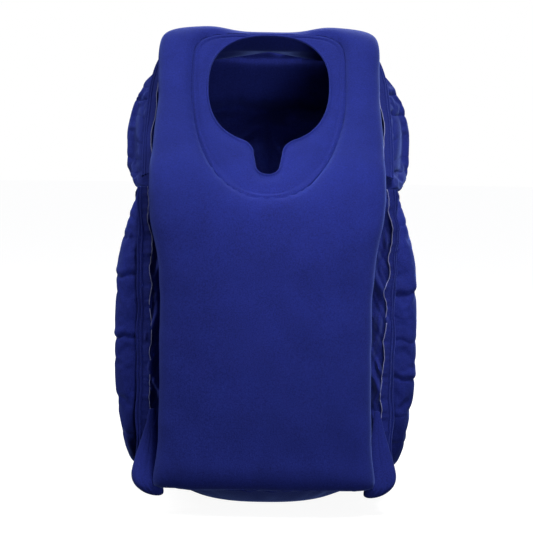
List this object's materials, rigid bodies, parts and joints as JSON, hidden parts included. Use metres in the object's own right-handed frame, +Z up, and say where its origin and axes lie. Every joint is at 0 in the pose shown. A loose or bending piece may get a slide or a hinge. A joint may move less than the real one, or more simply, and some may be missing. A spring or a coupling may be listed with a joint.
{
  "type": "inflatable face-down travel pillow",
  "caption": "Inflatable flocked torso-shaped cushion with a sloping face cradle, two arm holes and a screw-in air valve, for resting face down while seated.",
  "frame": {"origin": "middle of the pillow's bounding box, on the surface it stands on", "axes": "+X to the right seen from the front, +Y to the rear cushion, +Z up"},
  "size_m": [0.334, 0.3203, 0.5399],
  "materials": {
    "flocked_sheet": "matte",
    "weld_flange": "matte",
    "bare_film": "satin",
    "valve_vinyl": "satin",
    "silicone": "satin"
  },
  "bodies": {
    "pillow": {"front_cushion": "flocked_sheet", "face_cradle": "flocked_sheet", "rear_cushion": "flocked_sheet", "rear_tension_web": "bare_film", "base_cushion": "flocked_sheet", "left_side_bolster": "flocked_sheet", "right_side_bolster": "flocked_sheet", "left_shoulder_bolster": "flocked_sheet", "right_shoulder_bolster": "flocked_sheet", "left_gusset": "weld_flange", "right_gusset": "weld_flange", "left_front_seam": "weld_flange", "right_front_seam": "weld_flange", "left_rear_seam": "weld_flange", "right_rear_seam": "weld_flange", "base_seam": "weld_flange", "top_seam": "weld_flange", "left_arm_cuff": "weld_flange", "right_arm_cuff": "weld_flange", "valve_base": "valve_vinyl"},
    "sealing_ring": {"valve_o_ring": "silicone"},
    "stopper": {"valve_stopper": "valve_vinyl", "valve_strap_ring": "valve_vinyl", "valve_strap": "valve_vinyl"},
    "membrane": {"valve_membrane": "silicone"},
    "cap": {"valve_cap": "valve_vinyl"}
  },
  "joints": [
    {"name": "stopper_lift", "type": "slide", "parent": "pillow", "child": "sealing_ring", "axis": [0, 1, 0], "range_m": [0, 0.008]},
    {"name": "stopper_turn", "type": "hinge", "parent": "sealing_ring", "child": "stopper", "pos_m": [0, 0.148, 0.112], "axis": [0, 1, 0], "range_deg": [0, 720]},
    {"name": "cap_hinge", "type": "hinge", "parent": "stopper", "child": "cap", "pos_m": [0.0146, 0.1565, 0.112], "axis": [0, 0, -1], "range_deg": [0, 125]},
    {"name": "membrane_lift", "type": "slide", "parent": "stopper", "child": "membrane", "axis": [0, -1, 0], "range_m": [0, 0.003], "stiffness_N_per_m": 12, "springref_m": -0.001}
  ],
  "couplings": [
    {"joint": "stopper_lift", "follows": "stopper_turn", "m_per_rad": 0.00063662}
  ]
}
